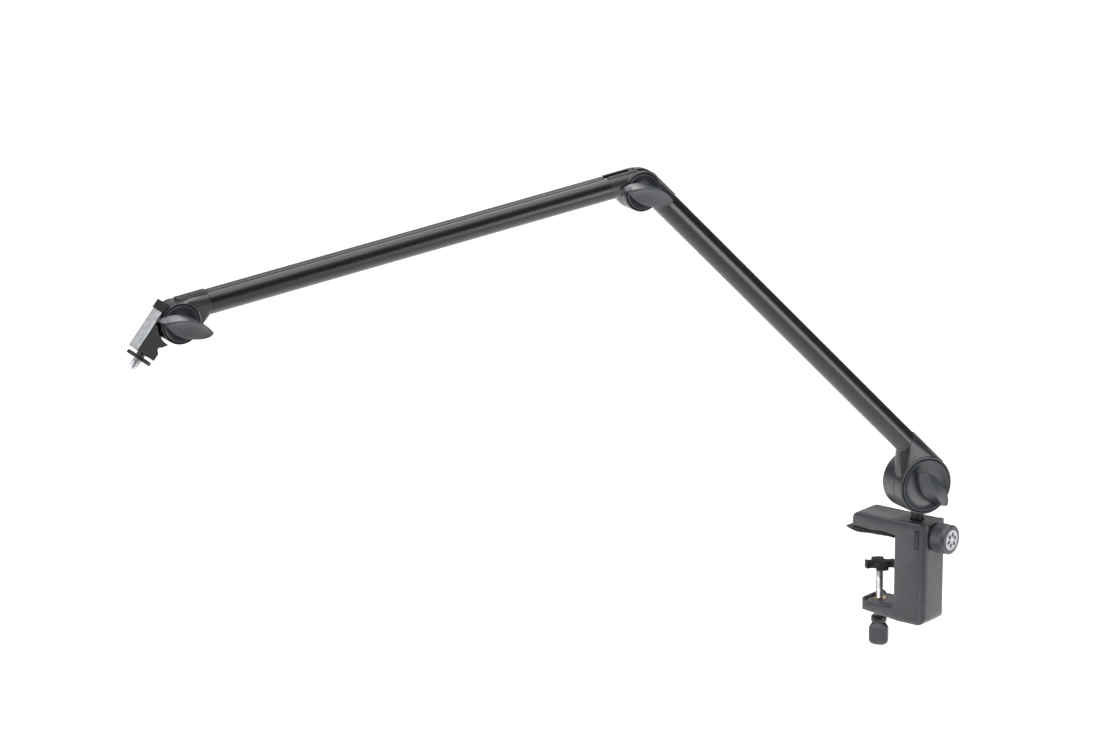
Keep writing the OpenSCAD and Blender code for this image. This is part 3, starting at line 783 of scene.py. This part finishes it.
def upper_jaw_pad():
    """Rubber pad with two hanging lobes along each side, flat where it rests on the desk."""
    front, back = JAW_FRONT - 10, THROAT - 3
    half = CLAMP_W / 2 + 2
    rim = 0.14
    rows, columns = 26, 44
    bm = bmesh.new()
    grids = []
    for upper in (False, True):
        grid = []
        for i in range(columns + 1):
            along = i / columns
            x = front + (back - front) * along
            line = []
            for j in range(rows + 1):
                v = -1 + 2 * j / rows
                bow = 1 - 0.16 * math.cos(2 * math.pi * along) ** 2 if abs(v) > 0.7 else 1
                y = v * half * bow
                hang = 0.5 + 0.5 * math.sin(2 * math.pi * (along * 1.15 - 0.2))
                lift = 2.6 * (1 - hang) * min(1, abs(v) ** 3)
                edge = max(0.0, abs(v) - 1 + rim) / rim
                top = PAD_T - 1.6 * edge ** 2 - 1.8 * max(0.0, 1 - along / 0.12)
                bottom = lift + 0.8 * edge ** 2 + 1.2 * max(0.0, 1 - along / 0.1) ** 2
                line.append(bm.verts.new((x, y, max(bottom, top) if upper else bottom)))
            grid.append(line)
        grids.append(grid)
    low, high = grids
    for i in range(columns):
        for j in range(rows):
            bm.faces.new((low[i][j], low[i][j + 1], low[i + 1][j + 1], low[i + 1][j]))
            bm.faces.new((high[i][j], high[i + 1][j], high[i + 1][j + 1], high[i][j + 1]))
    border = [(i, 0) for i in range(columns)] + [(columns, j) for j in range(rows)]
    border += [(i, rows) for i in range(columns, 0, -1)] + [(0, j) for j in range(rows, 0, -1)]
    for (a, b), (c, d) in zip(border, border[1:] + border[:1]):
        bm.faces.new((low[a][b], low[c][d], high[c][d], high[a][b]))
    return stand_for(make("jaw_pad", bm, sharp=60), "clamp", "upper_jaw_pad")


clamp_body()
side_cover(-1)
side_cover(1)
cover_screws()
blank_inlay()
upper_jaw_pad()

# ---- Clamp screw ----


def spindle():
    """Threaded rod from inside the paddle's neck to just under the pressure pad."""
    top = PAD_TOP - PRESSURE_PAD_T - 0.4
    bm = thread(SPINDLE_R, SPINDLE_PITCH, SPINDLE_DEPTH, COLLAR_BOTTOM - 2, top, "Z")
    return stand_for(make("spindle_thread", bm), "clamp_screw", "clamp_spindle")


def pressure_pad():
    """Cross-shaped pad: four lobes with hollow flanks and a domed hub below."""
    lobe_r, notch_r, notch_place = 16.2, 5.4, 14.4
    outline = []
    for quarter in range(4):
        middle = 45 + 90 * quarter
        outline += arc(0, 0, lobe_r, middle - 24, middle + 24, 6)
        turn = math.radians(middle + 45)
        x, y = notch_place * math.cos(turn), notch_place * math.sin(turn)
        outline += arc(x, y, notch_r, middle - 40, middle - 230, 10)
    base = PAD_TOP - PRESSURE_PAD_T
    pad = make("pressure_foot", prism(outline, base + 1.2, PAD_TOP, "XY"))
    bevel(pad, 0.8, 2)
    profile = [(0, base), (5.4, base), (6.6, base + 1.2), (7.6, base + 3), (7.6, base + 5),
               (0, base + 5)]
    boolean(pad, make("pad_hub", lathe(profile, "Z", 48)), "UNION")
    return stand_for(pad, "pressure_pad", "pressure_pad")


def collar():
    """Round black collar between the lower jaw and the paddle."""
    low, high = COLLAR_BOTTOM, COLLAR_TOP
    profile = [(0, low), (COLLAR_R - 1.3, low), (COLLAR_R - 0.3, low + 1), (COLLAR_R, low + 2.5),
               (COLLAR_R, high - 2.4), (COLLAR_R - 0.5, high - 1.1), (COLLAR_R - 1.6, high - 0.3),
               (COLLAR_R - 3.3, high), (0, high)]
    return stand_for(make("collar", lathe(profile, "Z", 56), sharp=50), "clamp_screw", "handle_collar")


def paddle():
    """Flat paddle that widens out of a round neck, with rounded lower corners."""
    height = COLLAR_BOTTOM - PADDLE_BOTTOM
    steps, levels = 44, 18
    rings = []
    for k in range(levels + 1):
        t = k / levels
        z = PADDLE_BOTTOM + height * t
        flat = min(1.0, max(0.0, (t - 0.74) / 0.26)) ** 1.3
        corner = min(1.0, t / 0.24)
        half_w = (5.6 + 4.9 * math.sqrt(max(0.0, 1 - (1 - corner) ** 2))) * (1 - flat) + 6.4 * flat
        half_t = (3.2 + 0.7 * min(1, t * 6)) * (1 - flat) + 6.0 * flat
        power = 5.0 - 3.0 * flat
        ring = []
        for i in range(steps):
            a = 2 * math.pi * i / steps
            c, s = math.cos(a), math.sin(a)
            ring.append((half_w * math.copysign(abs(c) ** (2 / power), c),
                         half_t * math.copysign(abs(s) ** (2 / power), s), z))
        rings.append(ring)
    bm = skin(rings)
    bm.transform(Matrix.Rotation(math.radians(PADDLE_TURN), 4, "Z"))
    piece = make("paddle", bm)
    bevel(piece, 0.7, 2, 50)
    return stand_for(piece, "clamp_screw", "spindle_handle")


spindle()
pressure_pad()
collar()
paddle()

# ---- Rear lock knob ----


def knurled_ring():
    """Ring with a diamond knurl and plain chamfered shoulders."""
    start, end = KNOB_BACK, KNOB_BACK + KNOB_RING
    count, teeth, rows = 288, 36, 40
    shoulder_w, shoulder_drop, knurl_depth, twist = 1.4, 1.0, 0.95, 2.0
    rings = [[(start, 0, LOCK_Z)]]
    for k in range(rows + 1):
        x = start + (end - start) * k / rows
        ring = []
        shoulder = min(1.0, (x - start) / shoulder_w, (end - x) / shoulder_w)
        lead = (x - start) / (end - start) * twist
        for i in range(count):
            a = 2 * math.pi * i / count
            one = abs(((i / count * teeth + lead) % 1.0) * 2 - 1)
            two = abs(((i / count * teeth - lead) % 1.0) * 2 - 1)
            r = KNOB_R - shoulder_drop * (1 - shoulder) - knurl_depth * shoulder * max(one, two)
            ring.append((x, r * math.cos(a), LOCK_Z + r * math.sin(a)))
        rings.append(ring)
    rings.append([(end, 0, LOCK_Z)])
    return stand_for(make("knurled_ring", skin(rings), sharp=25), "lock_knob", "lock_knob_ring")


def knob_cap():
    """Smooth cap with a rounded edge and a recess for the disc."""
    x0 = KNOB_BACK + KNOB_RING
    x1 = x0 + KNOB_CAP
    r = KNOB_R - 0.3
    floor = x1 - DISC_RECESS
    profile = [(0, x0 - 0.2), (r - 1.2, x0 - 0.2), (r - 0.6, x0 + 0.2), (r, x0 + 0.8), (r, x1 - 1.6),
               (r - 0.5, x1 - 0.7), (r - 1.4, x1 - 0.1), (r - 2.4, x1), (DISC_R + 0.5, x1),
               (DISC_R + 0.2, floor), (0, floor)]
    piece = make("knob_cap", lathe(profile, "X", 96, (0, LOCK_Z)), sharp=40)
    return stand_for(piece, "lock_knob", "lock_knob_cap")


def knob_disc():
    """Spun disc pierced by a ring of lozenges that show the dark cap behind it."""
    back = KNOB_BACK + KNOB_RING + KNOB_CAP - DISC_RECESS
    face = back + 0.6
    profile = [(0, back), (DISC_R, back), (DISC_R, face - 0.2), (DISC_R - 0.25, face),
               (DISC_R - 1.4, face), (DISC_R - 1.7, face - 0.25), (4.2, face - 0.25), (3.9, face),
               (0, face)]
    disc = make("knob_disc", lathe(profile, "X", 96, (0, LOCK_Z)), sharp=40)
    for k in range(6):
        corners = []
        for r, swing in ((9.3, 0), (6.3, 26), (2.8, 0), (6.3, -26)):
            turn = math.radians(60 * k + 15 + swing)
            corners.append((r * math.cos(turn), LOCK_Z + r * math.sin(turn)))
        boolean(disc, make("lozenge", prism(corners, back - 0.3, face + 1, "YZ")), "DIFFERENCE")
    return stand_for(disc, "lock_knob", "lock_knob_disc")


knurled_ring()
knob_cap()
knob_disc()

# ---- Castings: each node's body ----

CASTINGS = {
    "swivel_knuckle": "swivel",
    "base_fitting": "lower_arm",
    "lower_elbow_fitting": "lower_arm",
    "upper_elbow_fitting": "upper_arm",
    "head_end_fitting": "upper_arm",
    "head_hub": "head",
}
for node, body in CASTINGS.items():
    stand_for(soften(cad_copy(node + "_cast", node)), body, node)


# ---- Wing knobs ----


def arch(start, end, short, crown, tip):
    """Curve from a short end over a level crown to a long tip.

    short and tip are (value, fullness), crown is (from, to, value). A low fullness rounds that end.
    """
    crown_from, crown_to, level = crown

    def value(x):
        if x < crown_from:
            away, (last, fullness) = (crown_from - x) / (crown_from - start), short
        else:
            away, (last, fullness) = max(0.0, x - crown_to) / (end - crown_to), tip
        return last + (level - last) * max(0.0, 1 - away * away) ** fullness

    return value


# Wings, along X from the short end to the long tip: edge of the hollow facet, ridge, edge of the
# steep facet, and the ridge's height over the casting's face. side is +1 where the hollow facet lies
# on the local +Z side.
LEAF = {
    "side": 1,
    "start": -25.0,
    "hollow": ((1.6, 1.6), (8, 8, 13.4), (4, 0.5)),
    "ridge": ((1.2, 1.15), (8, 8, -5.8), (3.8, 1)),
    "steep": ((0.6, 0.7), (-3, -3, -8.9), (3.5, 0.9)),
    "height": ((3, 0.35), (-14, 10, 12), (3, 1.2)),
}
BASE_LEAF = {
    "side": -1,
    "start": -22.0,
    "hollow": ((3.6, 1), (8, 8, 13.9), (4, 0.55)),
    "ridge": ((9, 1.5), (22, 22, -2.9), (3.6, 0.6)),
    "steep": ((2.6, 1.4), (5, 5, -9.2), (3.2, 0.7)),
    "height": ((8, 0.5), (-14, 10, 12), (3, 1)),
}


def wing(face, dish_r, side, start, hollow, ridge, steep, height):
    """Leaf-shaped wing with a crisp ridge between a broad hollow facet and a steep narrow one."""
    hollow, ridge, steep, height = (arch(start, WING_TIP, *curve) for curve in (hollow, ridge, steep, height))
    stations = 56

    def foot(x, z):
        """Where the underside lies: sunk into the dish, and clear of the casting outside it."""
        return face + 0.9 if math.hypot(x, z) > dish_r - 1.4 else face - 3.1

    rings = []
    for k in range(stations + 1):
        x = start + (WING_TIP - start) * k / stations
        low_edge = hollow(x)
        far_edge = steep(x)
        spine = min(low_edge - 0.35, max(far_edge + 0.35, ridge(x)))
        top = face + height(x)
        low_y = min(face + 1.9, top - 0.5)
        far_y = min(face + 4.2, top - 0.35)
        broad = low_edge - spine
        narrow = far_edge - spine
        cup = min(1.1, 0.09 * broad)
        section = [(low_edge - 0.3, foot(x, low_edge)), (low_edge, low_y - 0.7),
                   (low_edge - 0.04 * broad, low_y)]
        for along in (0.2, 0.4, 0.6, 0.8):
            dip = cup * 4 * along * (1 - along)
            section.append((low_edge - broad * along, low_y + (top - low_y) * along - dip))
        section += [(spine + 0.04 * broad, top - 0.1), (spine, top), (spine + 0.1 * narrow, top - 0.25),
                    (far_edge - 0.1 * narrow, far_y + 0.2), (far_edge, far_y - 0.6),
                    (far_edge + 0.15, foot(x, far_edge))]
        rings.append([(x, y, side * z) for z, y in section])
    return skin(rings)


def wing_knob(name, body, node, joint, turn, dish_r, face, **shape):
    """Dish with a leaf-shaped wing across it."""
    floor = face - DISH_RECESS
    profile = [(0, floor), (dish_r - 0.8, floor), (dish_r, floor + 0.8), (dish_r, face),
               (dish_r - 0.3, face + 0.6), (dish_r - 0.9, face + 0.9), (dish_r - 1.6, face + 0.7),
               (dish_r - 3.4, face - 0.6), (dish_r - 5.4, face - 1.7), (dish_r - 8.2, face - 2.4),
               (0, face - 2.6)]
    matrix = arm_frame(joint, 180 + turn)
    piece = make(name, lathe(profile, "Y", 96), matrix)
    boolean(piece, make("wing", wing(face, dish_r, **shape), matrix), "UNION")
    shade(piece, 28)
    return stand_for(piece, body, node)


wing_knob("base_wing", "base_knob", "base_wing_knob", "base_tilt", BASE_WING_TURN,
          BASE_DISH_R, BASE_FACE, **BASE_LEAF)
for part, joint in (("elbow", "elbow_fold"), ("head", "head_tilt")):
    wing_knob(part + "_wing", part + "_knob", part + "_wing_knob", joint, JOINT_WING_TURN,
              JOINT_DISH_R, JOINT_FACE, **LEAF)

# ---- Head ----


def head_core():
    """Silver casting with softened edges."""
    return stand_for(soften(cad_copy("head_casting", "head_core"), 0.4, 2), "head", "head_core")


def head_cover():
    """Dark block with softened edges."""
    piece = soften(cad_copy("head_block", "head_cover"), 0.4, 2)
    return stand_for(piece, "head", "head_cover", material=HEAD_BLOCK_BLACK)


def head_cap():
    """Ribbed cap on the outer end of the head."""
    low, high = 21.1, HEAD_OUTER + 0.9
    back, front = -8.2, 1.2
    groove, rib_pitch, grooves = 0.5, 1.7, 4
    outline = [(back, low), (front, low), (front, high - 0.4), (front - 0.4, high)]
    for rib in range(grooves):
        x = -0.9 - rib_pitch * rib
        outline += [(x, high), (x - 0.3, high - groove), (x - 0.7, high - groove), (x - 1, high)]
    outline += [(-0.9 - rib_pitch * grooves, high), (back, high - groove)]
    half = HEAD_HALF_W + 0.8
    piece = make("ribbed_cap", prism(outline, -half, half), AT_HEAD)
    return stand_for(piece, "head", "head_cap")


def mic_stud():
    """Threaded stud that starts inside the head."""
    bm = thread(STUD_R, STUD_PITCH, STUD_DEPTH, HEAD_LEN - 4, STUD_TIP, "X", (0, STUD_OFFSET))
    return stand_for(make("stud_thread", bm, AT_HEAD), "head", "mic_stud")


def lock_nut():
    """Thin round nut with a finely notched edge."""
    count, notches, notch_depth, notch_share = 240, 40, 0.35, 0.4
    chamfer = 0.5
    heights = [(0, -chamfer), (chamfer, 0), (NUT_T - chamfer, 0), (NUT_T, -chamfer)]
    rings = [[(NUT_START, 0, STUD_OFFSET)]]
    for h, drop in heights:
        ring = []
        for i in range(count):
            a = 2 * math.pi * i / count
            notch = notch_depth if (i * notches / count) % 1.0 < notch_share else 0.0
            r = NUT_R + drop - notch
            ring.append((NUT_START + h, r * math.cos(a), STUD_OFFSET + r * math.sin(a)))
        rings.append(ring)
    rings.append([(NUT_START + NUT_T, 0, STUD_OFFSET)])
    return stand_for(make("lock_nut", skin(rings), AT_HEAD), "lock_nut", "stud_lock_nut")


head_core()
head_cover()
head_cap()
mic_stud()
lock_nut()
